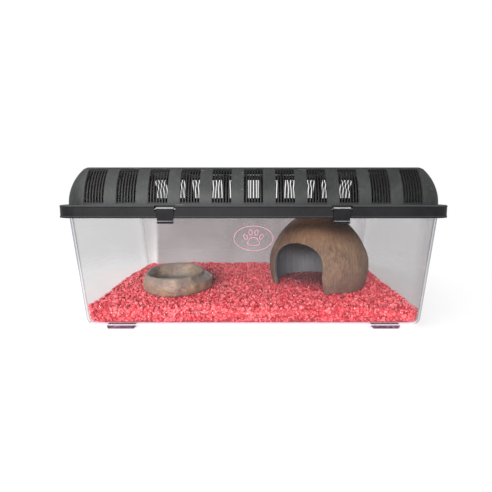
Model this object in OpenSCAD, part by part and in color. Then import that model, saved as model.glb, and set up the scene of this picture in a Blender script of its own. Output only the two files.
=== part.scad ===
// Barrel-top small-pet tank: a clear tub on four feet, a vented lid held by
// four swing latches, a feeding hatch, a gravel bed, a dish and a shell hide.
// The origin is on the ground under the middle of the tank. +X runs along the
// tank, the front faces -Y and +Z points up.

/* [Lid rim] */
// Length of the rim, left to right
rim_l = 400; // [380:5:420]
// Depth of the rim, front to rear
rim_w = 270; // [250:5:290]
// Height of the rim's skirt
rim_h = 12.6; // [11:0.2:15]
// Thickness of the skirt
skirt_t = 3.5; // [3.2:0.1:4]
// Thickness of the rim's top plate
plate_t = 2.5; // [2:0.1:3]
// Radius of the rim's corners
rim_r = 24; // [22:0.5:26]

/* [Dome] */
// Distance from the rim's edge to the dome
dome_inset = 6; // [5.5:0.1:7]
// Height of the dome above the rim
dome_h = 38.6; // [34:0.2:40]
// Radius of the dome's bulging sides
dome_r = 52; // [50:1:58]
// Thickness of the dome's shell
dome_t = 2; // [1.6:0.1:2.6]
// Number of vent groups along each long edge
vent_groups = 11; // [5:1:11]
// Number of slots in each vent group
vent_slots = 7; // [3:1:7]
// Width of one slot
slot_w = 1.7; // [1:0.1:1.8]
// Distance between neighbouring slots
slot_pitch = 2.85; // [2.6:0.05:3]

/* [Hatch] */
// Length of the hatch
hatch_l = 150; // [110:5:180]
// Depth of the hatch
hatch_w = 96; // [80:2:104]
// Thickness of the hatch
hatch_t = 2; // [1.6:0.1:2]

/* [Latches] */
// Distance between the two latches on one side
latch_span = 174; // [150:2:200]
// Width of one latch
latch_w = 16.8; // [14:0.2:20]
// How far the latch reaches below the rim
latch_drop = 5.4; // [4:0.2:8]
// Radius of the hinge pins
pin_r = 0.8; // [0.6:0.05:0.9]
// Running clearance around the hinge pins
pin_gap = 0.05; // [0.03:0.01:0.1]

/* [Tub] */
// Height of the tub from its underside to its mouth
tub_h = 128.7; // [110:1:150]
// Thickness of the walls
wall_t = 2.2; // [1.8:0.1:2.6]
// Thickness of the floor
floor_t = 2.5; // [2:0.1:4]
// Lean of the walls
draft = 5.9; // [5:0.1:6.2]
// Radius of the corners at the mouth
mouth_r = 26; // [24:0.5:26.5]
// Radius of the edge between walls and floor
floor_edge_r = 10; // [6:1:10]

/* [Feet] */
// Length of one foot
foot_l = 31; // [20:1:40]
// Depth of one foot
foot_w = 24; // [16:1:30]
// Height of one foot
foot_h = 4; // [3:0.5:8]
// Distance between the feet along the tank
foot_span_x = 290; // [220:2:300]
// Distance between the feet across the tank
foot_span_y = 194; // [150:2:196]

/* [Contents] */
// Depth of the gravel bed
gravel_h = 19.8; // [10:0.2:30]
// Largest radius of the hide
hide_r = 66; // [55:0.5:70]
// Half height of the whole shell that the hide is cut from
hide_b = 71; // [60:1:72]
// Height of the hide's widest level above its cut edge
hide_waist = 26.4; // [20:0.2:30]
// Thickness of the hide's shell
hide_t = 5.5; // [4:0.5:8]
// Width of the hide's doorway
door_w = 68; // [45:1:70]
// Height of the hide's doorway
door_h = 59; // [45:1:62]
// Direction of the doorway, left of straight ahead
door_turn = 38; // [0:1:60]
// Mean radius of the dish
dish_r = 44.5; // [35:0.5:46]
// Height of the dish
dish_h = 22; // [15:1:26]

/* [Hidden] */
$fn = 96;

black_plastic = "#2c2e2e";
clear_plastic = [0.88, 0.89, 0.9, 0.35];
smoke_plastic = [0.5, 0.52, 0.53, 0.5];
far = 300;

// Levels, from the ground up
base_z = foot_h;
floor_z = base_z + floor_t;
gravel_z = floor_z + gravel_h;
mouth_z = base_z + tub_h;
seat_gap = 0.3;
plate_z = mouth_z + seat_gap;
rim_z = plate_z + plate_t;
skirt_z = rim_z - rim_h;
dome_z = rim_z + dome_h;

// The tub, the gravel, the dome and the rim's inner parts are swept around one
// rounded rectangle, whose corners all turn about the same four upright axes
mouth_inset = 5;
axis_x = rim_l / 2 - mouth_r - mouth_inset;
axis_y = rim_w / 2 - mouth_r - mouth_inset;
flange_gap = 0.3;
flange_r = mouth_r + mouth_inset - skirt_t - flange_gap;
flange_t = 3;
floor_inner_r = floor_edge_r - 2;

// The rim's cross-section
edge_chamfer = 0.9;
face_inset = 0.35;
lip_h = 1.5;
dome_half_l = rim_l / 2 - dome_inset;
dome_half_w = rim_w / 2 - dome_inset;
dome_corner = dome_half_l - axis_x;
window_r = dome_corner - dome_t - 1.1;
upstand_t = 0.9;
upstand_h = 3;
rib_r = mouth_r - wall_t - 1.2;
rib_t = 1.2;
rib_h = 4;
plate_in = 10;

// The dome's sides bulge around arc axes. Its vents are given as angles there.
arc_y = dome_half_w - dome_r;
slot_low = 3;
slot_high = 42.4;
panel_low = 1.5;
panel_high = 44.2;
panel_depth = 0.7;
dome_bevel = [1.5, 1.3];
group_w = (vent_slots - 1) * slot_pitch + slot_w;
vent_margin = 25.6;
group_pitch = (2 * (dome_half_l - vent_margin) - group_w) / (vent_groups - 1);

// The hatch, its seat and its hinge
hatch_gap = 0.3;
hatch_corner = 6;
ledge_w = 4;
ledge_t = 1.6;
hinge_y = hatch_w / 2 + 3.5;
hinge_rise = 2.5;
hinge_z = dome_z + hinge_rise;
hinge_x = hatch_l / 2 - 25;
knuckle_r = 2.2;
knuckle_l = 12;
ear_r = 2.4;
ear_t = 3;
ear_gap = 0.3;
hinge_pin_r = pin_r + 0.1;
grip_r = 2.4;
grip_l = 36;

// The latches
latch_gap = 1.9;
barrel_r = 1.7;
arm_t = 1.8;
latch_y = rim_w / 2 - arm_t;
latch_z = rim_z - 3.7;
notch_w = latch_w + 2 * latch_gap;
notch_depth = 3.9;
notch_gap = 0.35;
notch_step = 2.4;
pin_recess = 2.75;
arm_recess = 2.1;
pin_socket = 4.5;
hook_w = 12;
hook_reach = 3;
hook_t = 1.4;
hook_z = latch_z - (mouth_z - flange_t) + 0.3;
lip_w = latch_w - 1;
bead_r = 0.9;

// The contents
dish_x = -97.5;
dish_y = -38;
dish_floor = 6;
hide_x = 88.6;
hide_y = -8.5;
door_rise = 25;
outline_steps = 28;
arch_steps = 16;
shell_steps = 20;

function wall_r(z) = mouth_r - (mouth_z - z) * tan(draft);

// An irregular, nearly oval outline, like a water-worn stone
function stone_r(a) = 1 + 0.03 * cos(2 * a) + 0.025 * cos(3 * a + 40) + 0.015 * sin(5 * a);
function stone_outline(r) = [
    for (i = [0 : outline_steps - 1])
        let (a = 360 * i / outline_steps)
        r * stone_r(a + 90) * [cos(a), sin(a)]
];

// A half profile of the hide's shell, from its cut edge to its crown
function shell_curve(inset, steps) =
    let (a0 = -asin(hide_waist / (hide_b - inset)))
    [
        for (i = [0 : steps])
            let (a = a0 + (90 - a0) * i / steps)
            [(hide_r - inset) * cos(a), hide_waist + (hide_b - inset) * sin(a)]
    ];

// Sweeps a profile around a rounded rectangle, its x measured outwards from
// the corner axes
module rect_sweep(ax = axis_x, ay = axis_y) {
    for (side = [0, 1]) {
        mirror([side, 0, 0]) {
            translate([ax, 0, 0]) rotate([90, 0, 0]) linear_extrude(2 * ay, center = true) children();
            translate([ax, ay, 0]) rotate_extrude(angle = 90) children();
            translate([ax, -ay, 0]) rotate([0, 0, -90]) rotate_extrude(angle = 90) children();
        }
        mirror([0, side, 0]) translate([0, ay, 0]) rotate([90, 0, 90])
            linear_extrude(2 * ax, center = true) children();
    }
}

// The area between a corner axis and a leaning wall, with a rounded lower edge
module side_fill(inset, low, high, edge_r) {
    low_r = wall_r(low) - inset;
    edge_x = low_r + edge_r * tan(draft) - edge_r / cos(draft);
    intersection() {
        translate([0, low]) square([far, high - low]);
        union() {
            polygon([
                [0, low], [edge_x, low], [edge_x, low + edge_r],
                [edge_x + edge_r * cos(draft), low + edge_r * (1 - sin(draft))],
                [wall_r(high) - inset, high], [0, high]
            ]);
            translate([edge_x, low + edge_r]) circle(edge_r);
        }
    }
}

module centre_slab(low, high) {
    translate([-axis_x, -axis_y, low]) cube([2 * axis_x, 2 * axis_y, high - low]);
}

module tub() {
    color(clear_plastic) {
        rect_sweep() {
            difference() {
                side_fill(0, base_z, mouth_z, floor_edge_r);
                side_fill(wall_t, floor_z, mouth_z + 1, floor_inner_r);
            }
            difference() {
                translate([0, mouth_z - flange_t]) square([flange_r, flange_t]);
                translate([0, mouth_z - flange_t - 1]) square([mouth_r - wall_t / 2, flange_t + 2]);
            }
        }
        centre_slab(base_z, floor_z);
    }
}

module foot(x, y) {
    bevel = 1.5;
    color("#6e3a63") translate([x, y, 0]) rotate([90, 0, 0]) linear_extrude(foot_w, center = true) polygon([
        [-foot_l / 2, foot_h], [-foot_l / 2 + bevel, 0], [foot_l / 2 - bevel, 0], [foot_l / 2, foot_h]
    ]);
}

module gravel_bed() {
    clearance = 0.3;
    color("#e0505c") {
        rect_sweep() side_fill(wall_t + clearance, floor_z, gravel_z, floor_inner_r);
        centre_slab(floor_z, gravel_z);
    }
}

// The rim's skirt and the outer part of its plate
module skirt_section() {
    polygon([
        [rim_r - plate_in, plate_z], [rim_r - skirt_t, plate_z],
        [rim_r - skirt_t, skirt_z], [rim_r, skirt_z], [rim_r, skirt_z + lip_h],
        [rim_r - face_inset, skirt_z + lip_h + face_inset],
        [rim_r - face_inset, rim_z - 2 * edge_chamfer - face_inset],
        [rim_r, rim_z - 2 * edge_chamfer], [rim_r, rim_z - edge_chamfer],
        [rim_r - edge_chamfer, rim_z], [rim_r - plate_in, rim_z]
    ]);
}

// The inner part of the plate, with the rib below it and the upstand above
module plate_section() {
    polygon([
        [rib_r - rib_t, plate_z - rib_h], [rib_r, plate_z - rib_h], [rib_r, plate_z],
        [flange_r, plate_z], [flange_r, rim_z], [window_r + upstand_t, rim_z],
        [window_r + upstand_t, rim_z + upstand_h], [window_r, rim_z + upstand_h],
        [window_r, rim_z], [rib_r - rib_t, rim_z]
    ]);
}

// Puts a latch part at its place on the front (side 0) or the rear (side 1)
module at_latch(hand, side) {
    mirror([0, side, 0]) translate([hand * latch_span / 2, -latch_y, latch_z]) children();
}

// A cut into the rim's face, from a level near the latch's axis upwards
module notch(width, depth, low) {
    translate([-width / 2, latch_y - rim_w / 2 - 1, low]) cube([width, depth + 1, far]);
}

module lid_frame() {
    color(black_plastic) difference() {
        union() {
            rect_sweep() plate_section();
            rect_sweep(rim_l / 2 - rim_r, rim_w / 2 - rim_r) skirt_section();
        }
        for (hand = [-1, 1]) {
            for (side = [0, 1]) {
                at_latch(hand, side) {
                    notch(notch_w, pin_recess, -notch_step);
                    notch(latch_w + 2 * notch_gap, notch_depth, -notch_step);
                    notch(latch_w + 2 * notch_gap, arm_recess, -far);
                    notch(hook_w + 4 * notch_gap, notch_depth, -hook_z - hook_t - 1.6);
                    rotate([0, 90, 0]) cylinder(r = pin_r, h = notch_w + 2 * pin_socket, center = true);
                }
            }
        }
    }
}

// The area between a corner axis and the dome's bulging side, drawn in by inset
module dome_fill(inset, low, high) {
    top_x = dome_corner - dome_r + sqrt(dome_r * dome_r - dome_h * dome_h);
    intersection() {
        translate([0, low]) square([far, high - low]);
        union() {
            translate([dome_corner - dome_r, rim_z]) circle(dome_r - inset);
            if (low < rim_z) {
                translate([0, low]) square([dome_corner - inset, rim_z - low]);
            }
        }
        polygon([
            [0, low], [far, low], [far, dome_z - dome_bevel[1]],
            [top_x + dome_bevel[1] * 0.7, dome_z - dome_bevel[1]], [top_x - dome_bevel[0], dome_z], [0, dome_z]
        ]);
    }
}

// A wedge around each bulging side, between two angles above the horizontal
module edge_wedge(low, high) {
    reach = dome_r * 1.6;
    for (side = [0, 1]) {
        mirror([side, 0]) translate([arc_y, rim_z]) polygon([
            [0, 0], reach * [cos(low), sin(low)], reach * [cos(high), sin(high)]
        ]);
    }
}

module along_tank(length) {
    rotate([90, 0, 90]) linear_extrude(length, center = true) children();
}

module rounded_rect(length, width, r) {
    for (x = [-1, 1]) {
        for (y = [-1, 1]) {
            translate([x * (length / 2 - r), y * (width / 2 - r)]) circle(r);
        }
    }
    square([length, width - 2 * r], center = true);
    square([length - 2 * r, width], center = true);
}

module hinge_ear(x) {
    translate([x, hinge_y, hinge_z]) rotate([0, 90, 0]) cylinder(r = ear_r, h = ear_t, center = true);
    translate([x - ear_t / 2, hinge_y - ear_r, dome_z - dome_t]) cube([ear_t, 2 * ear_r, hinge_rise + dome_t]);
}

module lid_dome() {
    ledge_l = hatch_l + 2 * hatch_gap;
    ledge_d = hatch_w + 2 * hatch_gap;
    ear_x = (knuckle_l + ear_t) / 2 + ear_gap;
    color(black_plastic) difference() {
        union() {
            rect_sweep() difference() {
                dome_fill(0, rim_z, dome_z);
                dome_fill(dome_t, rim_z - 1, dome_z - dome_t);
            }
            centre_slab(dome_z - dome_t, dome_z);
            translate([0, 0, dome_z - dome_t - ledge_t]) linear_extrude(ledge_t + dome_t / 2)
                rounded_rect(ledge_l + 2 * ledge_w, ledge_d + 2 * ledge_w, hatch_corner + ledge_w);
            for (hand = [-1, 1]) {
                for (side = [-1, 1]) {
                    hinge_ear(hand * hinge_x + side * ear_x);
                }
            }
        }
        translate([0, 0, dome_z - hatch_t - 0.1]) linear_extrude(hatch_t + 1)
            rounded_rect(ledge_l, ledge_d, hatch_corner);
        translate([0, 0, dome_z - 10]) linear_extrude(20)
            rounded_rect(ledge_l - 2 * ledge_w, ledge_d - 2 * ledge_w, hatch_corner);
        for (hand = [-1, 1]) {
            translate([hand * hinge_x, hinge_y, hinge_z]) rotate([0, 90, 0])
                cylinder(r = hinge_pin_r, h = far / 10, center = true);
        }
        for (i = [0 : vent_groups - 1]) {
            translate([(i - (vent_groups - 1) / 2) * group_pitch, 0, 0]) {
                along_tank(group_w + 1) difference() {
                    edge_wedge(panel_low, panel_high);
                    for (side = [-1, 1]) {
                        translate([side * arc_y, rim_z]) circle(dome_r - panel_depth);
                    }
                }
                for (j = [0 : vent_slots - 1]) {
                    translate([(j - (vent_slots - 1) / 2) * slot_pitch, 0, 0])
                        along_tank(slot_w) edge_wedge(slot_low, slot_high);
                }
            }
        }
    }
}

// A latch about its own hinge axis, with -Y outwards
module latch() {
    foot_z = skirt_z - latch_drop - latch_z;
    lip_z = skirt_z - latch_z;
    color(black_plastic) difference() {
        union() {
            rotate([0, 90, 0]) cylinder(r = barrel_r, h = latch_w, center = true);
            translate([-latch_w / 2, -arm_t, lip_z]) cube([latch_w, arm_t, -lip_z]);
            translate([-lip_w / 2, -arm_t + face_inset, foot_z]) cube([lip_w, arm_t - face_inset, lip_z - foot_z]);
            translate([0, -arm_t + bead_r, foot_z + bead_r + 1.1]) rotate([0, 90, 0])
                cylinder(r = bead_r, h = lip_w, center = true);
            translate([-hook_w / 2, -arm_t / 2, -hook_z - hook_t]) cube([hook_w, hook_reach + arm_t / 2, hook_t]);
        }
        rotate([0, 90, 0]) cylinder(r = pin_r + pin_gap, h = latch_w + 2, center = true);
    }
}

module latch_pin() {
    color("#c8c8cc") rotate([0, 90, 0]) cylinder(r = pin_r, h = notch_w + 2 * pin_socket - 1, center = true);
}

module hatch() {
    strap_w = knuckle_l;
    strap_t = 2;
    strap_y = hatch_w / 2 - 8;
    strap_z = dome_z + hinge_rise - knuckle_r;
    grip_y = 8 - hatch_w / 2;
    color(smoke_plastic) difference() {
        union() {
            translate([0, 0, dome_z - hatch_t]) linear_extrude(hatch_t) rounded_rect(hatch_l, hatch_w, hatch_corner);
            intersection() {
                translate([0, grip_y, dome_z]) rotate([0, 90, 0]) cylinder(r = grip_r, h = grip_l, center = true);
                translate([-far / 2, -far / 2, dome_z - hatch_t / 2]) cube(far);
            }
            for (hand = [-1, 1]) {
                translate([hand * hinge_x, hinge_y, hinge_z]) rotate([0, 90, 0])
                    cylinder(r = knuckle_r, h = knuckle_l, center = true);
                translate([hand * hinge_x - strap_w / 2, strap_y, dome_z - hatch_t / 2])
                    cube([strap_w, hatch_w / 2 - strap_y, strap_z - dome_z + hatch_t / 2 + strap_t]);
                translate([hand * hinge_x - strap_w / 2, strap_y, strap_z])
                    cube([strap_w, hinge_y - strap_y, strap_t]);
            }
        }
        for (hand = [-1, 1]) {
            translate([hand * hinge_x, hinge_y, hinge_z]) rotate([0, 90, 0])
                cylinder(r = hinge_pin_r + pin_gap, h = knuckle_l + 2, center = true);
        }
    }
}

module hatch_pin(hand) {
    color("#c8c8cc") translate([hand * hinge_x, hinge_y, hinge_z]) rotate([0, 90, 0])
        cylinder(r = hinge_pin_r, h = knuckle_l + 2 * (ear_t + ear_gap), center = true);
}

module food_dish() {
    bowl_scale = 0.72;
    color("#9a8d80") translate([dish_x, dish_y, gravel_z]) difference() {
        linear_extrude(dish_h) polygon(stone_outline(dish_r));
        translate([0, 0, dish_floor]) linear_extrude(dish_h) polygon(stone_outline(dish_r * bowl_scale));
    }
}

// An arched prism that points to the front
module doorway() {
    half = door_w / 2;
    spring = door_h - door_rise;
    rotate([90, 0, 0]) linear_extrude(2 * hide_r) polygon(concat(
        [[half, -1]],
        [for (i = [0 : arch_steps]) let (a = 180 * i / arch_steps) [half * cos(a), spring + door_rise * sin(a)]],
        [[-half, -1]]
    ));
}

module coconut_hide() {
    inner = shell_curve(hide_t, shell_steps);
    color("#84685a") translate([hide_x, hide_y, gravel_z]) difference() {
        rotate_extrude() polygon(concat(
            shell_curve(0, shell_steps),
            [for (i = [shell_steps : -1 : 0]) inner[i]]
        ));
        rotate([0, 0, -door_turn]) doorway();
    }
}

tub();
foot(-foot_span_x / 2, -foot_span_y / 2);  // foot_front_left
foot(foot_span_x / 2, -foot_span_y / 2);  // foot_front_right
foot(-foot_span_x / 2, foot_span_y / 2);  // foot_rear_left
foot(foot_span_x / 2, foot_span_y / 2);  // foot_rear_right
gravel_bed();
lid_frame();
lid_dome();
at_latch(-1, 0) latch();  // latch_front_left
at_latch(1, 0) latch();  // latch_front_right
at_latch(-1, 1) latch();  // latch_rear_left
at_latch(1, 1) latch();  // latch_rear_right
at_latch(-1, 0) latch_pin();  // latch_pin_front_left
at_latch(1, 0) latch_pin();  // latch_pin_front_right
at_latch(-1, 1) latch_pin();  // latch_pin_rear_left
at_latch(1, 1) latch_pin();  // latch_pin_rear_right
hatch();
hatch_pin(-1);  // hatch_pin_left
hatch_pin(1);  // hatch_pin_right
food_dish();
coconut_hide();
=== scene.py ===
"""Barrel-top small-pet tank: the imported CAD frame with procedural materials, a bed
of gravel, a stone-look dish, a coconut-shell hide and a printed paw. The scene is in
metres. The sizes below and the shapes are in millimetres, and are multiplied by MM."""
import functools
import math

import bmesh
import bpy
import numpy as np
from mathutils import Matrix, Vector, noise


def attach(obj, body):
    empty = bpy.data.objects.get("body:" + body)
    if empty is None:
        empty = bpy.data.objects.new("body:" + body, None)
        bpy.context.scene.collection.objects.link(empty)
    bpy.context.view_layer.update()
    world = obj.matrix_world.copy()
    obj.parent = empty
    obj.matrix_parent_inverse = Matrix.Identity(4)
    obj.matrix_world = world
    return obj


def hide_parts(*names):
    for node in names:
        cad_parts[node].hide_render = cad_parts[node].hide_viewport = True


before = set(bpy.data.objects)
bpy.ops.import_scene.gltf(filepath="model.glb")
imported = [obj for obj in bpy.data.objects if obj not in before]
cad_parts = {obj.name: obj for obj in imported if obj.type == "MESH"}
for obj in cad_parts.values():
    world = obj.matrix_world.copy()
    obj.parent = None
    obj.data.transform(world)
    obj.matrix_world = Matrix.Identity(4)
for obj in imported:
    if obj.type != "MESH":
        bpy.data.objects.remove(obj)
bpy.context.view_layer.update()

MM = 0.001
SCENE = bpy.context.scene


# ---------------------------------------------------------------- sizes of the CAD model, mm
# Upright axes that the tub's corners turn about, and the wall's outside at the mouth
AXIS_X, AXIS_Y = 169.0, 104.0
MOUTH_R, MOUTH_Z = 26.0, 132.7
LEAN = math.tan(math.radians(5.9))
WALL = 2.2
# Top of the floor, radius of its inner edge, and the gravel's level
FLOOR_Z, FLOOR_EDGE, BED_Z = 6.5, 8.0, 26.3
# Vent panels of the dome: spacing, half width, lower and upper level, and the row's end
VENT_PITCH, VENT_HALF = 31.8, 9.7
VENT_LOW, VENT_HIGH, VENT_END = 137.0, 171.7, 169.3
# The hide: part of a hollow ellipsoid of radius R and half height B, cut WAIST below its middle
HIDE_X, HIDE_Y = 88.6, -8.5
HIDE_R, HIDE_B, HIDE_WAIST, HIDE_T = 66.0, 71.0, 26.4, 5.5
DOOR_W, DOOR_H, DOOR_RISE, DOOR_TURN = 68.0, 59.0, 25.0, math.radians(-38)
DISH_X, DISH_Y, DISH_R = -97.5, -38.0, 44.5

# Where the hide and the dish stand, in metres
HIDE_AT = Vector((HIDE_X, HIDE_Y, BED_Z)) * MM
DISH_AT = Vector((DISH_X, DISH_Y, BED_Z)) * MM


# ---------------------------------------------------------------- camera
def make_camera():
    data = bpy.data.cameras.new("camera")
    data.sensor_width = 36
    data.lens = 24.6
    data.shift_x = -0.01524
    data.shift_y = -0.0429
    data.clip_start = 0.01
    camera = bpy.data.objects.new("camera", data)
    camera.location = (0, -0.4639, 0.1481)
    camera.rotation_euler = (math.radians(84.5), 0, 0)
    SCENE.collection.objects.link(camera)
    SCENE.camera = camera


make_camera()


# ---------------------------------------------------------------- stage
def area_light(name, place, target, size, power, colour=(1, 1, 1)):
    data = bpy.data.lights.new(name, "AREA")
    data.shape = "RECTANGLE"
    data.size, data.size_y = size
    data.energy = power
    data.color = colour
    light = bpy.data.objects.new(name, data)
    light.location = place
    light.rotation_euler = (Vector(target) - Vector(place)).to_track_quat("-Z", "Y").to_euler()
    SCENE.collection.objects.link(light)


def make_world():
    """White where the camera looks at it, and a softer, cooler light on the object."""
    world = bpy.data.worlds.new("studio")
    SCENE.world = world
    world.use_nodes = True
    tree = world.node_tree
    tree.nodes.clear()
    mix = tree.nodes.new("ShaderNodeMixShader")
    for socket, colour, strength in ((1, (0.97, 0.985, 1.0, 1), 0.6), (2, (1, 1, 1, 1), 1.0)):
        light = tree.nodes.new("ShaderNodeBackground")
        light.inputs["Color"].default_value = colour
        light.inputs["Strength"].default_value = strength
        tree.links.new(light.outputs[0], mix.inputs[socket])
    path = tree.nodes.new("ShaderNodeLightPath")
    out = tree.nodes.new("ShaderNodeOutputWorld")
    tree.links.new(path.outputs["Is Camera Ray"], mix.inputs[0])
    tree.links.new(mix.outputs[0], out.inputs[0])


def make_floor(half=3.0):
    mesh = bpy.data.meshes.new("studio_floor")
    corners = [(-half, -half, 0), (half, -half, 0), (half, half, 0), (-half, half, 0)]
    mesh.from_pydata(corners, [], [(0, 1, 2, 3)])
    mesh.materials.append(floor_material())
    floor = bpy.data.objects.new("studio_floor", mesh)
    SCENE.collection.objects.link(floor)


def make_stage():
    SCENE.view_settings.view_transform = "Standard"
    make_world()
    make_floor()
    area_light("key", (-0.45, -2.0, 0.64), (0, 0, 0.06), (1.2, 0.3), 64, (1.0, 0.99, 0.97))
    area_light("dome", (-0.5, -0.5, 0.72), (-0.1, -0.05, 0.17), (0.75, 0.75), 7.5)
    area_light("rear", (0.1, 1.5, 0.5), (0, 0, 0.03), (1.4, 0.5), 20)


# ---------------------------------------------------------------- material helpers
class Nodes:
    """A material's node tree under construction."""

    def __init__(self, name):
        self.material = bpy.data.materials.new(name)
        self.material.use_nodes = True
        self.tree = self.material.node_tree
        self.tree.nodes.clear()

    def add(self, kind, values=None, **settings):
        """A new node. Each value is either linked to its socket or set on it."""
        made = self.tree.nodes.new("ShaderNode" + kind)
        for key, value in settings.items():
            setattr(made, key, value)
        for key, value in (values or {}).items():
            if isinstance(value, bpy.types.NodeSocket):
                self.tree.links.new(value, made.inputs[key])
            else:
                made.inputs[key].default_value = value
        return made

    def place(self):
        """The point on the object, in metres."""
        return self.add("TexCoord").outputs["Object"]

    def normal(self):
        return self.add("NewGeometry").outputs["Normal"]

    def axes(self, vector):
        return self.add("SeparateXYZ", {0: vector}).outputs

    def upward(self):
        """How far the surface faces up, from -1 to 1."""
        return self.axes(self.normal())[2]

    def scaled(self, vector, scale, turn=(0, 0, 0)):
        return self.add("Mapping", {"Vector": vector, "Rotation": turn, "Scale": scale}).outputs[0]

    def vector(self, operation, a, b=(0, 0, 0)):
        """A vector operation. A length or a dot product comes out as a number."""
        made = self.add("VectorMath", {0: a, 1: b}, operation=operation)
        return made.outputs[1 if operation in ("LENGTH", "DOT_PRODUCT") else 0]

    def noise(self, vector, scale, detail=3.0, rough=0.5):
        values = {"Vector": vector, "Scale": scale, "Detail": detail, "Roughness": rough}
        return self.add("TexNoise", values).outputs["Fac"]

    def ramp(self, value, *stops):
        """Colours, or plain grey levels, at positions from 0 to 1."""
        made = self.add("ValToRGB", {"Fac": value})
        points = made.color_ramp.elements
        while len(points) < len(stops):
            points.new(0.5)
        for point, (position, colour) in zip(points, stops):
            point.position = position
            point.color = (*colour, 1) if isinstance(colour, tuple) else (colour, colour, colour, 1)
        return made.outputs["Color"]

    def span(self, value, low, high, to_low=0.0, to_high=1.0):
        """Goes from to_low to to_high as value goes from low to high, and stays there."""
        return self.add("MapRange", {0: value, 1: low, 2: high, 3: to_low, 4: to_high}).outputs[0]

    def across(self, coordinate, start, end, to_start=0.0, to_end=1.0):
        """The same along a coordinate in metres, from start to end in millimetres."""
        return self.span(coordinate, start * MM, end * MM, to_start, to_end)

    def math(self, operation, a, b=0.0):
        return self.add("Math", {0: a, 1: b}, operation=operation).outputs[0]

    def product(self, *factors):
        return functools.reduce(functools.partial(self.math, "MULTIPLY"), factors)

    def total(self, *terms):
        return functools.reduce(functools.partial(self.math, "ADD"), terms)

    def mix(self, factor, a, b):
        return self.add("Mix", {0: factor, 6: a, 7: b}, data_type="RGBA").outputs[2]

    def bump(self, height, strength, distance, normal=None):
        values = {"Height": height, "Strength": strength, "Distance": distance}
        if normal is not None:
            values["Normal"] = normal
        return self.add("Bump", values).outputs[0]

    def principled(self, **values):
        return self.add("BsdfPrincipled", {key.replace("_", " "): value for key, value in values.items()})

    def layered(self, factor, under, over):
        """One shader that gives way to another as factor goes from 0 to 1."""
        return self.add("MixShader", {0: factor, 1: under.outputs[0], 2: over.outputs[0]})

    def finish(self, shader):
        self.add("OutputMaterial", {"Surface": shader.outputs[0]})
        return self.material


def rgb(r, g, b):
    """Linear colour of an sRGB one given in 0 to 255."""
    return tuple((v / 255 / 12.92) if v <= 10 else ((v / 255 + 0.055) / 1.055) ** 2.4 for v in (r, g, b))


def rgba(r, g, b):
    return (*rgb(r, g, b), 1)


def moulding(n, p, grain):
    """What the lid's two black mouldings share: a cloudy tone, dusty streaks, patches
    of scuffs, and a normal with a fine grain of the given strength."""
    clouds = n.noise(p, 28.0, 4.0, 0.6)
    streaks = n.noise(n.scaled(p, (1.0, 0.55, 0.4)), 420.0, 5.0, 0.72)
    scratches = n.noise(n.scaled(p, (40.0, 600.0, 600.0), (0.3, 0.5, 0.6)), 1.0, 2.0)
    scuffs = n.product(n.span(scratches, 0.66, 0.72), n.span(n.noise(p, 45.0, 2.0), 0.55, 0.66))
    normal = n.bump(n.noise(p, 1500.0, 2.0), grain, 0.00025, n.bump(clouds, 0.12, 0.0012))
    return clouds, streaks, scuffs, normal


# ---------------------------------------------------------------- materials
def floor_material():
    """Pale matt floor that runs out into the white surroundings."""
    n = Nodes("studio_floor")
    p = n.place()
    matt = n.principled(
        Base_Color=n.ramp(n.noise(p, 3.0, 2.0), (0.3, 0.38), (0.7, 0.41)), Roughness=0.9,
        Specular_IOR_Level=0.1, Emission_Color=(1, 1, 1, 1), Emission_Strength=0.5,
    )
    away = n.vector("LENGTH", p)
    gone = n.add("MapRange", {0: away, 1: 0.2, 2: 0.6}, interpolation_type="SMOOTHERSTEP").outputs[0]
    return n.finish(n.layered(gone, matt, n.add("BsdfTransparent")))


def rim_material():
    """The rim's black plastic, with a painted highlight where it faces up."""
    n = Nodes("rim_plastic")
    clouds, streaks, scuffs, normal = moulding(n, n.place(), 0.22)
    body = n.ramp(clouds, (0.3, rgb(18, 18, 19)), (0.72, rgb(28, 28, 30)))
    body = n.mix(n.product(scuffs, 0.2), body, rgba(110, 110, 111))
    body = n.mix(n.span(streaks, 0.5, 0.75, 0.0, 0.25), body, rgba(37, 37, 39))
    # Paler where it faces up: a painted highlight along the top chamfer.
    body = n.mix(n.span(n.upward(), 0.3, 0.75, 0.0, 0.7), body, rgba(68, 68, 72))
    return n.finish(n.principled(
        Base_Color=body, Roughness=n.span(clouds, 0.3, 0.7, 0.4, 0.52), Specular_IOR_Level=0.1,
        Normal=normal,
    ))


def dome_material():
    """The dome's satin plastic, with painted shade in the recessed panels around the vent slots,
    and duller on its flat top."""
    n = Nodes("black_plastic")
    p = n.place()
    clouds, streaks, scuffs, normal = moulding(n, p, 0.25)
    x, _, z = n.axes(p)
    from_middle = n.math("PINGPONG", n.math("DIVIDE", x, VENT_PITCH * MM), 0.5)
    half = VENT_HALF / VENT_PITCH
    painted_recess_shade = n.product(
        n.span(from_middle, half, half - 0.02),
        n.across(z, VENT_LOW - 0.5, VENT_LOW + 0.5), n.across(z, VENT_HIGH + 0.5, VENT_HIGH - 0.5),
        n.across(n.math("ABSOLUTE", x), VENT_END + 0.3, VENT_END - 0.3),
    )
    body = n.ramp(clouds, (0.3, rgb(29, 31, 30)), (0.72, rgb(44, 47, 46)))
    body = n.mix(n.span(streaks, 0.5, 0.75, 0.0, 0.3), body, rgba(66, 70, 69))
    body = n.mix(n.product(scuffs, 0.4), body, rgba(150, 155, 154))
    # Near black in the recessed vent panels: painted shade.
    body = n.mix(n.product(painted_recess_shade, 0.85), body, rgba(8, 8, 9))
    rough = n.total(n.span(clouds, 0.3, 0.7, 0.46, 0.56), n.span(n.upward(), 0.85, 0.99, 0.0, 0.35))
    return n.finish(n.principled(Base_Color=body, Roughness=rough, Specular_IOR_Level=0.2, Normal=normal))


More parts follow.
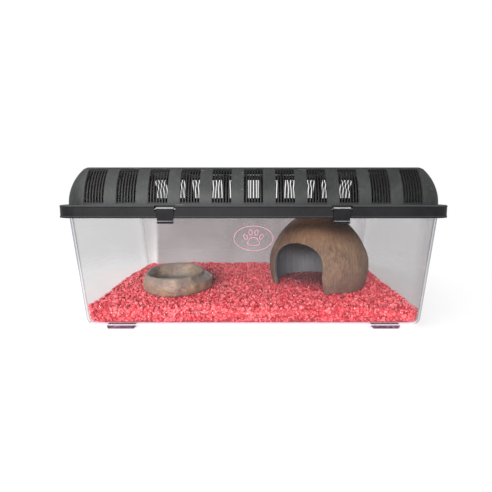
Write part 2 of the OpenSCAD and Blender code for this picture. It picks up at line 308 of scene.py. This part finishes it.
def latch_material():
    """The latches' black plastic, with a painted highlight where it faces up."""
    n = Nodes("latch_plastic")
    p = n.place()
    clouds = n.noise(p, 90.0, 4.0, 0.6)
    black = n.ramp(clouds, (0.3, rgb(14, 14, 16)), (0.72, rgb(26, 26, 28)))
    # pale is the colour of the painted highlight, mixed in where the surface faces up.
    pale = n.ramp(clouds, (0.3, rgb(150, 144, 152)), (0.7, rgb(190, 184, 192)))
    return n.finish(n.principled(
        Base_Color=n.mix(n.span(n.upward(), 0.25, 0.7, 0.0, 0.75), black, pale),
        Roughness=n.span(clouds, 0.3, 0.7, 0.45, 0.55), Specular_IOR_Level=0.08,
        Normal=n.bump(n.noise(p, 1200.0, 2.0), 0.15, 0.0002),
    ))


def clear_material():
    """Clear moulded polystyrene: lightly hazed and scratched walls, the rear one frosted in dark
    mauve and the right one hazier, both painted shade, pale bends at the rear corners that are a
    painted refraction highlight, grey lines down the edges of the front ones that are painted
    refraction, and a painted warm white glow where the base is thick."""
    n = Nodes("clear_plastic")
    p = n.place()
    x, y, z = n.axes(p)
    side = n.math("ABSOLUTE", x)
    # bend marks the rear corners' bends, where a pale haze is a painted refraction highlight.
    bend = n.product(n.across(side, AXIS_X - 3, AXIS_X + 3), n.across(y, AXIS_Y - 3, AXIS_Y + 6))
    rear = n.product(n.across(y, AXIS_Y, AXIS_Y + 14), n.across(side, AXIS_X + 3, AXIS_X - 3))
    front = n.product(n.across(y, -AXIS_Y, -AXIS_Y - 6), n.across(side, AXIS_X, AXIS_X + 7))
    # base marks the thick base, which gets a painted glow: pinkish white haze and emission.
    base = n.across(z, FLOOR_Z - 0.3, FLOOR_Z + 1.7, 1.0, 0.0)

    clouds = n.noise(n.scaled(p, (1.0, 1.0, 0.5)), 11.0, 3.0)
    scratches = n.noise(n.scaled(p, (700.0, 60.0, 60.0), (0.2, 0.1, 0.5)), 1.0, 2.0)
    # Real cloudiness and scratches, plus painted light: the right wall's extra haze and the rear frost are
    # painted shade, the bends' haze is a painted refraction highlight and the base's haze a painted glow.
    haze_and_painted_light = n.total(
        n.span(clouds, 0.35, 0.7, 0.004, 0.018), n.across(x, AXIS_X - 4, AXIS_X + 6, 0.0, 0.11),
        n.product(rear, n.span(clouds, 0.3, 0.7, 0.24, 0.36)), n.product(bend, 0.25),
        n.span(scratches, 0.68, 0.76, 0.0, 0.03),
    )
    haze_and_painted_light = n.math("MAXIMUM", haze_and_painted_light, n.product(base, 0.8))
    # Colour of the haze: dark mauve as painted shade, white at the bends as a painted refraction highlight.
    painted_frost_tone = n.mix(bend, rgba(96, 80, 84), rgba(252, 252, 253))
    body = n.principled(
        Base_Color=n.mix(base, painted_frost_tone, rgba(253, 238, 246)), Roughness=0.4, Specular_IOR_Level=0.2,
        Emission_Color=rgba(248, 226, 238), Emission_Strength=n.product(base, 0.35),
    )

    # Grey-blue see-through at the front corners where seen edge-on: painted refraction.
    facing = n.add("LayerWeight", {"Blend": 0.5}).outputs["Facing"]
    edge = n.product(front, n.span(facing, 0.6, 0.95))
    # A pinker see-through on the rear wall, part of the same painted shade.
    passed = n.mix(rear, (0.92, 0.918, 0.92, 1), (0.93, 0.89, 0.895, 1))
    through = n.add("BsdfTransparent", {"Color": n.mix(edge, passed, (0.42, 0.42, 0.5, 1))})
    wave = n.bump(n.noise(p, 9.0, 2.0), 0.2, 0.002)
    gloss = n.add("BsdfGlossy", {"Color": (1, 1, 1, 1), "Roughness": 0.06, "Normal": wave})
    mirror = n.span(n.math("POWER", facing, 4.0), 0.0, 1.0, 0.012, 0.35)
    return n.finish(n.layered(mirror, n.layered(haze_and_painted_light, through, body), gloss))


def smoke_material():
    """The hatch's smoky clear plastic."""
    n = Nodes("smoke_plastic")
    p = n.place()
    clouds = n.noise(p, 30.0, 3.0)
    body = n.principled(
        Base_Color=n.ramp(clouds, (0.3, rgb(58, 60, 61)), (0.7, rgb(74, 76, 77))),
        Roughness=n.span(clouds, 0.3, 0.7, 0.16, 0.26),
        Normal=n.bump(n.noise(p, 700.0, 2.0), 0.08, 0.0002),
    )
    through = n.add("BsdfTransparent", {"Color": (0.6, 0.61, 0.62, 1)})
    return n.finish(n.layered(n.span(clouds, 0.2, 0.8, 0.55, 0.65), through, body))


def foot_material():
    """The feet's clear plastic, painted a speckled plum for the pink gravel refracted through it."""
    n = Nodes("foot_pad")
    speckle = n.noise(n.place(), 260.0, 4.0, 0.7)
    # Plum tones: painted refraction of the pink gravel through the clear feet.
    tone = n.ramp(speckle, (0.35, rgb(44, 18, 36)), (0.55, rgb(78, 40, 66)), (0.72, rgb(150, 108, 138)))
    return n.finish(n.principled(Base_Color=tone, Roughness=0.5, Normal=n.bump(speckle, 0.3, 0.0006)))


def steel_material():
    """Hinge pins, brushed along their length."""
    n = Nodes("steel_pin")
    brushed = n.noise(n.scaled(n.place(), (900.0, 3000.0, 3000.0)), 1.0, 2.0)
    return n.finish(n.principled(
        Base_Color=n.ramp(brushed, (0.3, rgb(84, 84, 88)), (0.7, rgb(120, 120, 126))), Metallic=1.0,
        Roughness=n.span(brushed, 0.3, 0.7, 0.25, 0.42), Normal=n.bump(brushed, 0.2, 0.0001),
    ))


def gravel_material(name, deep, mid, pale):
    """Dyed gravel: every stone a little different, with pale spots that are partly chalky rubbing
    and partly painted highlights, and painted shade where the hide covers it."""
    n = Nodes(name)
    p = n.place()
    stone = n.add("TexVoronoi", {"Vector": p, "Scale": 235.0}).outputs["Color"]
    colour = n.ramp(n.axes(stone)[0], (0.08, deep), (0.5, mid), (0.92, pale))
    # Pale spots: partly chalky rubbing, partly painted highlights.
    rubbed_spots_and_highlights = n.span(n.noise(p, 620.0, 3.0, 0.65), 0.56, 0.66, 0.0, 0.65)
    colour = n.mix(rubbed_spots_and_highlights, colour, rgba(255, 186, 190))
    local = n.vector("SUBTRACT", p, HIDE_AT)
    doorwards = n.vector("DOT_PRODUCT", local, (math.sin(DOOR_TURN), -math.cos(DOOR_TURN), 0))
    under = n.across(n.vector("LENGTH", local), HIDE_R - 4, HIDE_R - 8)
    # Dark under the hide: painted shade.
    painted_hide_shade = n.product(n.across(doorwards, 48, 0), under, 0.85)
    grain = n.noise(p, 1600.0, 3.0)
    return n.finish(n.principled(
        Base_Color=n.mix(painted_hide_shade, colour, rgba(74, 34, 40)), Roughness=n.span(grain, 0.3, 0.7, 0.3, 0.5),
        Coat_Weight=0.12, Normal=n.bump(grain, 0.3, 0.0003),
    ))


def shell_material():
    """Sanded coconut shell: fibres down the meridians, tan over brown, orange and lighter at the
    crown, partly its own tone and partly painted light, with a dark patch on its right, dull towards the cut
    edge and grey inside."""
    n = Nodes("coconut_shell")
    p = n.place()
    x, y, z = n.axes(n.vector("SUBTRACT", p, HIDE_AT))
    around = n.vector("NORMALIZE", n.add("CombineXYZ", {0: x, 1: y}).outputs[0])
    turn = n.axes(around)
    fibre_at = n.add("CombineXYZ", {0: turn[0], 1: turn[1], 2: n.product(z, 2.6)}).outputs[0]
    fibres = n.noise(fibre_at, 44.0, 6.0, 0.78)
    wisps = n.noise(n.vector("ADD", fibre_at, (3.1, 1.7, 0.4)), 70.0, 4.0, 0.75)
    patches = n.noise(p, 30.0, 5.0, 0.7)
    colour = n.ramp(patches, (0.34, rgb(80, 60, 48)), (0.5, rgb(112, 86, 69)), (0.66, rgb(142, 112, 88)))
    colour = n.mix(n.span(fibres, 0.46, 0.68, 0.0, 0.7), colour, rgba(182, 150, 118))
    colour = n.mix(n.span(wisps, 0.5, 0.7, 0.0, 0.55), colour, rgba(66, 48, 38))
    # Orange and lighter at the crown: partly the shell's tone, partly painted light.
    colour = n.mix(n.product(n.across(z, 55, 97), 0.75), colour, rgba(176, 118, 78))
    dark_patch = n.product(n.across(z, 58, 74), n.across(x, -4, 18), 0.7)
    colour = n.mix(dark_patch, colour, rgba(62, 46, 38))
    colour = n.mix(n.across(z, 45, 0, 0.0, 0.5), colour, rgba(128, 102, 96))
    inside = n.span(n.vector("DOT_PRODUCT", n.normal(), around), 0.0, -0.25)
    grey = n.ramp(patches, (0.3, rgb(106, 106, 112)), (0.7, rgb(128, 127, 132)))
    return n.finish(n.principled(
        Base_Color=n.mix(inside, colour, grey), Roughness=n.span(fibres, 0.3, 0.7, 0.5, 0.72),
        Specular_IOR_Level=0.35, Normal=n.bump(fibres, 0.6, 0.0012, n.bump(wisps, 0.5, 0.0008)),
    ))


def stone_material():
    """Cast resin made to look like rock: speckled tan sides and a warm grey bowl."""
    n = Nodes("dish_stone")
    p = n.place()
    patches = n.noise(p, 45.0, 4.0, 0.6)
    grit = n.noise(n.scaled(p, (1.0, 1.0, 1.8)), 300.0, 5.0, 0.8)
    tan = n.ramp(patches, (0.34, rgb(118, 96, 88)), (0.5, rgb(146, 120, 106)), (0.66, rgb(170, 144, 112)))
    tan = n.mix(n.span(grit, 0.5, 0.68, 0.0, 0.6), tan, rgba(196, 172, 144))
    tan = n.mix(n.span(grit, 0.46, 0.32, 0.0, 0.6), tan, rgba(84, 70, 63))
    grey = n.ramp(patches, (0.3, rgb(122, 113, 106)), (0.7, rgb(148, 138, 128)))
    return n.finish(n.principled(
        Base_Color=n.mix(n.span(n.upward(), 0.2, 0.75), tan, grey),
        Roughness=n.span(grit, 0.3, 0.7, 0.42, 0.7), Normal=n.bump(grit, 0.5, 0.0008),
    ))


def print_material():
    """Thin pink ink that lets some light through."""
    n = Nodes("pink_print")
    tone = n.ramp(n.noise(n.place(), 300.0, 3.0), (0.3, rgb(188, 112, 140)), (0.7, rgb(208, 138, 162)))
    ink = n.principled(Base_Color=tone, Roughness=0.5)
    return n.finish(n.layered(0.62, n.add("BsdfTransparent"), ink))


# ---------------------------------------------------------------- mesh helpers
def add_object(name, mesh, material, body):
    made = bpy.data.objects.new(name, mesh)
    SCENE.collection.objects.link(made)
    mesh.materials.clear()
    mesh.materials.append(material)
    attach(made, body)
    return made


def mesh_from(name, points, faces, smooth=True):
    mesh = bpy.data.meshes.new(name)
    mesh.from_pydata([tuple(point) for point in points], [], faces)
    mesh.validate()
    mesh.polygons.foreach_set("use_smooth", [smooth] * len(mesh.polygons))
    return mesh


def ring_faces(rings, around):
    """Faces of a solid whose points are rings of as many points each, anticlockwise
    from above and upwards on the outside, with its first and last ring closed."""
    faces = [tuple(reversed(range(around)))]
    for low in range(0, (rings - 1) * around, around):
        for k in range(around):
            j = (k + 1) % around
            faces.append((low + k, low + j, low + around + j, low + around + k))
    faces.append(tuple(range((rings - 1) * around, rings * around)))
    return faces


def face_outwards(mesh):
    solid = bmesh.new()
    solid.from_mesh(mesh)
    bmesh.ops.recalc_face_normals(solid, faces=solid.faces)
    solid.to_mesh(mesh)
    solid.free()


def applied(mesh, *steps):
    """The mesh after modifiers, each given as (type, settings)."""
    holder = bpy.data.objects.new("holder", mesh)
    SCENE.collection.objects.link(holder)
    for kind, settings in steps:
        modifier = holder.modifiers.new(kind.lower(), kind)
        for key, value in settings.items():
            setattr(modifier, key, value)
    graph = bpy.context.evaluated_depsgraph_get()
    made = bpy.data.meshes.new_from_object(holder.evaluated_get(graph))
    bpy.data.objects.remove(holder)
    return made


def push(mesh, amount):
    """Moves each vertex along its normal by amount(position, normal)."""
    moved = [v.co + v.normal * amount(v.co, v.normal) for v in mesh.vertices]
    mesh.vertices.foreach_set("co", [c for v in moved for c in v])
    mesh.update()
    mesh.polygons.foreach_set("use_smooth", [True] * len(mesh.polygons))


def wall_r(z):
    """Outer radius of the tub's corners at a level."""
    return MOUTH_R - (MOUTH_Z - z) * LEAN


# ---------------------------------------------------------------- gravel
def bed_height(x, y):
    """Level of the gravel's surface: gently uneven, lower at the front right, and flat
    where the hide and the dish stand."""
    waves = 0.9 * np.sin(x / 31 + 0.6) * np.cos(y / 27 - 0.4) + 0.6 * np.sin(x / 17 - y / 23)
    right = np.clip((x - 105) / 65, 0, 1) * np.clip((40 - y) / 130, 0, 1)
    level = BED_Z + 0.4 + waves - 4.5 * right
    for middle_x, middle_y, reach in ((HIDE_X, HIDE_Y, HIDE_R), (DISH_X, DISH_Y, DISH_R + 3)):
        near = np.clip((np.hypot(x - middle_x, y - middle_y) - reach) / 14, 0, 1)
        level = BED_Z + near * (level - BED_Z)
    return level


def side_depth(x, y, z):
    """Distance inwards from the tub's inner wall and rounded floor edge."""
    qx, qy = np.abs(x) - AXIS_X, np.abs(y) - AXIS_Y
    out = np.hypot(np.maximum(qx, 0), np.maximum(qy, 0)) + np.minimum(np.maximum(qx, qy), 0)
    clear = WALL + 0.3
    inner = wall_r(z) - clear
    edge = wall_r(FLOOR_Z) - clear + FLOOR_EDGE * LEAN - FLOOR_EDGE * math.hypot(1, LEAN)
    edge_z = FLOOR_Z + FLOOR_EDGE
    low = FLOOR_EDGE - np.hypot(np.maximum(out - edge, 0), np.maximum(edge_z - z, 0))
    return np.where((z < edge_z) & (out > edge), np.minimum(low, inner - out), inner - out)


def stone_shapes(rng, count, corners):
    """Convex stones of about unit radius, as point arrays and triangles."""
    shapes = []
    for _ in range(count):
        points = rng.normal(size=(corners, 3))
        for _ in range(12):
            points /= np.linalg.norm(points, axis=1)[:, None]
            gap = points[:, None] - points[None]
            far = np.linalg.norm(gap, axis=2) + np.eye(corners)
            points = points + 0.06 * (gap / far[:, :, None] ** 3).sum(1)
        points /= np.linalg.norm(points, axis=1)[:, None]
        points *= rng.uniform(0.82, 1.0, (corners, 1)) * rng.uniform(0.78, 1.0, 3)
        solid = bmesh.new()
        for point in points:
            solid.verts.new(point)
        bmesh.ops.convex_hull(solid, input=solid.verts)
        loose = [v for v in solid.verts if not v.link_faces]
        bmesh.ops.delete(solid, geom=loose, context="VERTS")
        bmesh.ops.triangulate(solid, faces=solid.faces)
        bmesh.ops.recalc_face_normals(solid, faces=solid.faces)
        solid.verts.index_update()
        shapes.append((
            np.array([v.co[:] for v in solid.verts]),
            np.array([[v.index for v in f.verts] for f in solid.faces]),
        ))
        solid.free()
    return shapes


def random_turns(rng, count):
    """Rotation matrices of evenly spread random directions."""
    q = rng.normal(size=(count, 4))
    w, x, y, z = (q / np.linalg.norm(q, axis=1)[:, None]).T
    return np.stack([
        np.stack([1 - 2 * (y * y + z * z), 2 * (x * y - z * w), 2 * (x * z + y * w)], 1),
        np.stack([2 * (x * y + z * w), 1 - 2 * (x * x + z * z), 2 * (y * z - x * w)], 1),
        np.stack([2 * (x * z - y * w), 2 * (y * z + x * w), 1 - 2 * (x * x + y * y)], 1),
    ], 1)


def stones_mesh(name, rng, shapes, centres, radii):
    """One mesh of stones, each a randomly turned copy of one of the shapes."""
    kinds = rng.integers(len(shapes), size=len(centres))
    turns = random_turns(rng, len(centres))
    points, faces, start = [], [], 0
    for kind, (shape, triangles) in enumerate(shapes):
        chosen = kinds == kind
        turned = np.einsum("nij,kj->nki", turns[chosen], shape)
        placed = turned * radii[chosen, None, None] + centres[chosen, None]
        count = len(placed)
        offsets = start + np.arange(count)[:, None, None] * len(shape)
        points.append(placed.reshape(-1, 3))
        faces.append((triangles[None] + offsets).reshape(-1, 3))
        start += count * len(shape)
    points, faces = np.concatenate(points) * MM, np.concatenate(faces)
    mesh = bpy.data.meshes.new(name)
    mesh.vertices.add(len(points))
    mesh.vertices.foreach_set("co", points.ravel())
    mesh.loops.add(faces.size)
    mesh.loops.foreach_set("vertex_index", faces.ravel())
    mesh.polygons.add(len(faces))
    mesh.polygons.foreach_set("loop_start", np.arange(0, faces.size, 3))
    mesh.update(calc_edges=True)
    mesh.polygons.foreach_set("use_smooth", [False] * len(faces))
    return mesh


def bed_stones(rng):
    """Centres and radii of the stones that can be seen: the top layers and the ones
    against the walls and the floor."""
    step = 4.15
    x, y, z = np.meshgrid(
        np.arange(-AXIS_X - 15, AXIS_X + 15, step), np.arange(-AXIS_Y - 15, AXIS_Y + 15, step * 0.88),
        np.arange(FLOOR_Z + 1.6, BED_Z + 3, step * 0.82), indexing="ij",
    )
    x = x + np.where(np.arange(y.shape[1]) % 2, step / 2, 0)[None, :, None]
    spots = np.stack([x, y, z], -1).reshape(-1, 3)
    spots += rng.uniform(-0.42, 0.42, spots.shape) * step
    radii = rng.uniform(1.9, 3.0, len(spots))

    side = side_depth(*spots.T)
    below = bed_height(spots[:, 0], spots[:, 1]) - spots[:, 2]
    in_bed = (side > -0.6) & (below > -0.8)
    shown = (below < 6.2) | (side < 5.0) | (spots[:, 2] - FLOOR_Z < 2.8)
    spots, radii = spots[in_bed & shown], radii[in_bed & shown]

    top = bed_height(spots[:, 0], spots[:, 1])
    lift = rng.uniform(0.35, 0.95, len(spots))
    spots[:, 2] = np.clip(spots[:, 2], FLOOR_Z + radii * 0.95, top - radii * lift)
    nudge = 0.1
    for _ in range(3):
        side = side_depth(*spots.T)
        short = np.where(side < radii + 1.4, radii - side, 0)
        slope = np.stack([side_depth(*(spots + nudge * axis).T) - side for axis in np.eye(3)], 1) / nudge
        spots += slope * short[:, None]
    return spots, radii


def bed_outline(count, depth):
    """Points all round the bed, at equal angles and at a depth inwards from the wall."""
    outline = []
    for angle in np.linspace(0, 2 * math.pi, count, endpoint=False):
        far = 400 * np.array([math.cos(angle), math.sin(angle)])
        low, high = 0.0, 1.0
        for _ in range(30):
            middle = (low + high) / 2
            if side_depth(*(far * middle), 20.0) > depth:
                low = middle
            else:
                high = middle
        outline.append(far * low)
    return np.array(outline)


def bed_core():
    """A solid lump under the stones, so no gap between them shows daylight."""
    sunk, hub = 3.2, 0.02
    outline = bed_outline(160, sunk)
    level = np.full(len(outline), FLOOR_Z + 1.8)
    rings = [np.column_stack([outline * share, level]) for share in (hub, 0.988)]
    for share in np.linspace(1, hub, 40):
        x, y = (outline * share).T
        rings.append(np.column_stack([x, y, bed_height(x, y) - sunk]))
    return mesh_from("gravel_core", np.concatenate(rings) * MM, ring_faces(len(rings), len(outline)))


def make_gravel():
    rng = np.random.default_rng(41)
    red = gravel_material("dyed_gravel", rgb(176, 26, 44), rgb(225, 58, 72), rgb(250, 114, 122))
    # The core's darker reds are painted shade for the gaps between the stones.
    dark = gravel_material("gravel_shade", rgb(170, 34, 48), rgb(190, 44, 58), rgb(205, 56, 70))
    core = add_object("gravel_core", bed_core(), dark, "tank")
    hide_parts("gravel_bed")
    spots, radii = bed_stones(rng)
    x, y, z = spots.T
    top = z > bed_height(x, y) - 5.5
    fine = stone_shapes(rng, 16, 18)
    plain = stone_shapes(rng, 12, 13)
    heaps = {
        "gravel_top_left": (top & (x < -60), fine), "gravel_top_middle": (top & (abs(x) <= 60), fine),
        "gravel_top_right": (top & (x > 60), fine), "gravel_sides": (~top, plain),
    }
    for name, (chosen, shapes) in heaps.items():
        add_object(name, stones_mesh(name, rng, shapes, spots[chosen], radii[chosen]), red, "tank")


# ---------------------------------------------------------------- hide
def hide_profile(inset):
    """Radii and heights from the cut edge to the crown, which is a little pointed."""
    steps = 60
    start = -math.asin(HIDE_WAIST / (HIDE_B - inset))
    for i in range(steps + 1):
        a = start + (math.pi / 2 - start) * i / steps
        r, z = (HIDE_R - inset) * math.cos(a), HIDE_WAIST + (HIDE_B - inset) * math.sin(a)
        yield r * (1 - 0.12 * min(1.0, max(0.0, (z - 36) / 50)) ** 1.3), z


def revolved(name, outline, around):
    """A solid turned about Z from a closed outline of radii and heights. A point on
    the axis becomes one vertex."""
    solid = bmesh.new()
    angles = [2 * math.pi * k / around for k in range(around)]
    rings = []
    for r, z in outline:
        if r < 0.01:
            rings.append([solid.verts.new((0, 0, z * MM))] * around)
        else:
            rings.append([
                solid.verts.new((r * math.cos(a) * MM, r * math.sin(a) * MM, z * MM)) for a in angles
            ])
    for low, high in zip(rings, rings[1:] + rings[:1]):
        for k in range(around):
            j = (k + 1) % around
            corners = list(dict.fromkeys([low[k], low[j], high[j], high[k]]))
            if len(corners) > 2:
                solid.faces.new(corners)
    bmesh.ops.recalc_face_normals(solid, faces=solid.faces)
    mesh = bpy.data.meshes.new(name)
    solid.to_mesh(mesh)
    solid.free()
    return mesh


def door_cutter():
    """An arched bar from the hide's middle out through its doorway."""
    half, spring = DOOR_W / 2, DOOR_H - DOOR_RISE
    sill, reach = -6, 90
    arch = [(-half, sill)]
    arch += [(-half * math.cos(a), spring + DOOR_RISE * math.sin(a)) for a in np.linspace(0, math.pi, 33)]
    arch += [(half, sill)]
    count = len(arch)
    cos, sin = math.cos(DOOR_TURN), math.sin(DOOR_TURN)
    turn = np.array([[cos, -sin], [sin, cos]])
    points = [np.append(turn @ (x, y), z) * MM for y in (0, -reach) for x, z in arch]
    faces = [tuple(range(count)), tuple(reversed(range(count, 2 * count)))]
    faces += [(k, k + count, (k + 1) % count + count, (k + 1) % count) for k in range(count)]
    mesh = mesh_from("door_cutter", points, faces, False)
    face_outwards(mesh)
    cutter = bpy.data.objects.new("door_cutter", mesh)
    SCENE.collection.objects.link(cutter)
    return cutter


def fibrous(co, normal):
    """Relief of the hide's surface: fibres down the meridians over broad lumps."""
    around = Vector((co.x, co.y, 0)).normalized()
    fibre = noise.fractal((around.x * 17, around.y * 17, co.z * 26), 0.6, 2.0, 3)
    return (0.28 * fibre + 0.55 * noise.noise(co * 32)) * MM


def make_hide():
    outline = [*hide_profile(0), *reversed(list(hide_profile(HIDE_T)))]
    cutter = door_cutter()
    mesh = applied(
        revolved("hide_solid", outline, 144),
        ("BOOLEAN", {"operation": "DIFFERENCE", "object": cutter, "solver": "EXACT"}),
        ("REMESH", {"mode": "VOXEL", "voxel_size": 1.2 * MM}),
        ("SMOOTH", {"factor": 0.5, "iterations": 3}),
    )
    bpy.data.objects.remove(cutter)
    push(mesh, fibrous)
    mesh.transform(Matrix.Translation(HIDE_AT))
    hide = add_object("coconut_shell_hide", mesh, shell_material(), "hide")
    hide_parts("coconut_hide")


# ---------------------------------------------------------------- dish
def dish_radius(a):
    """Radius of the dish at an angle, irregular like a stone's."""
    t = a + math.pi / 2
    wobble = 0.03 * math.cos(2 * t) + 0.025 * math.cos(3 * t + math.radians(40)) + 0.015 * math.sin(5 * t)
    return DISH_R * (1 + wobble)


def dish_solid():
    """The dish from its base up the side, over the lip and down into the bowl. The lip
    is narrower at the right, and raised at the back."""
    around = 120
    # Shares of the radius, and heights in mm
    side = [(0.86, 0.0), (0.93, 0.6), (0.975, 3.0), (1.0, 8.0), (0.995, 13.0)]
    lip = [(0.965, 17.5), (0.94, 20.3), (0.915, 21.7), (0.89, 22.0), (0.865, 21.6), (0.84, 20.0)]
    bowl = [(0.79, 16.0), (0.74, 11.0), (0.68, 8.0), (0.58, 6.4), (0.4, 6.0), (0.05, 6.0)]
    section = side + lip + bowl
    points = []
    for row, (share, z) in enumerate(section):
        for k in range(around):
            a = 2 * math.pi * k / around
            r = dish_radius(a)
            if row >= len(side):
                r *= 1 - 0.22 * max(0.0, math.cos(a - 0.2)) ** 1.5
            rise = 1.8 * max(0.0, math.sin(a)) * min(1.0, max(0.0, (z - 8) / 10))
            points.append((r * share * math.cos(a) * MM, r * share * math.sin(a) * MM, (z + rise) * MM))
    return mesh_from("dish_solid", points, ring_faces(len(section), around))


def rocky(co, normal):
    """Relief of the dish's surface: chips, facets and grain, gentler where it faces up."""
    chips = noise.voronoi(co * 95)[0][0] - 0.35
    grain = noise.fractal(co * 240, 0.7, 2.0, 3)
    wall = 1 - max(0.0, normal.z) * 0.5
    facets = noise.noise(co * 60)
    return (1.5 * chips + 1.0 * facets + 0.4 * grain) * wall * MM


def make_dish():
    mesh = applied(
        dish_solid(), ("REMESH", {"mode": "VOXEL", "voxel_size": 0.9 * MM}),
        ("SMOOTH", {"factor": 0.5, "iterations": 2}),
    )
    push(mesh, rocky)
    mesh.transform(Matrix.Translation(DISH_AT))
    dish = add_object("stone_food_dish", mesh, stone_material(), "dish")
    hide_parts("food_dish")


# ---------------------------------------------------------------- printed mark
def oval(rx, ry, u=0.0, v=0.0, tilt=0.0, count=64):
    """Points of an ellipse about (u, v), turned by tilt."""
    cos, sin = math.cos(tilt), math.sin(tilt)
    made = []
    for k in range(count):
        a = 2 * math.pi * k / count
        x, y = rx * math.cos(a), ry * math.sin(a)
        made.append((u + x * cos - y * sin, v + x * sin + y * cos))
    return made


def paw_pad(width, height, count=64):
    """Points of a paw's main pad: a rounded triangle below the toes."""
    made = []
    for k in range(count):
        a = 2 * math.pi * k / count
        r = 1 + 0.13 * math.cos(3 * (a - math.pi / 2)) * (1 if math.sin(a) < 0.2 else 0.6)
        made.append((width * r * math.cos(a), -3.6 + height * r * math.sin(a)))
    return made


def make_print():
    """A generic paw in an oval ring, printed in lines on the outside of the front wall."""
    middle_z, gap, thick = 102.0, 0.12, 0.12
    lines = [(oval(20.0, 13.0, count=96), oval(19.4, 12.4, count=96)), (paw_pad(6.0, 4.6), paw_pad(5.3, 3.9))]
    for u, v, tilt in ((-8.0, 1.6, 0.45), (-3.0, 6.0, 0.12), (3.0, 6.0, -0.12), (8.0, 1.6, -0.45)):
        lines.append((oval(2.0, 3.0, u, v, tilt), oval(1.4, 2.4, u, v, tilt)))
    points, faces = [], []
    for outer, inner in lines:
        start, count = len(points), len(outer)
        for depth in (gap, gap + thick):
            for u, v in outer + inner:
                z = middle_z + v
                points.append((u, -(AXIS_Y + wall_r(z)) - depth, z))
        for ring, other in ((0, 1), (1, 3), (3, 2), (2, 0)):
            a, b = start + ring * count, start + other * count
            for k in range(count):
                j = (k + 1) % count
                faces.append((a + k, a + j, b + j, b + k))
    mesh = mesh_from("paw_print", np.array(points) * MM, faces, False)
    face_outwards(mesh)
    add_object("paw_print", mesh, print_material(), "tank")


# ---------------------------------------------------------------- carried-over CAD nodes
def dress_nodes():
    """Gives each CAD node that stays in view its material, by the start of its name."""
    steel = steel_material()
    looks = {
        "latch_pin": steel, "hatch_pin": steel, "latch": latch_material(), "hatch": smoke_material(),
        "foot": foot_material(), "tub": clear_material(), "lid_dome": dome_material(),
        "lid_frame": rim_material(),
    }
    for name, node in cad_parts.items():
        look = next((look for start, look in looks.items() if name.startswith(start)), None)
        if look:
            for slot in node.material_slots:
                slot.link = "OBJECT"
                slot.material = look


make_stage()
make_gravel()
make_hide()
make_dish()
make_print()
dress_nodes()
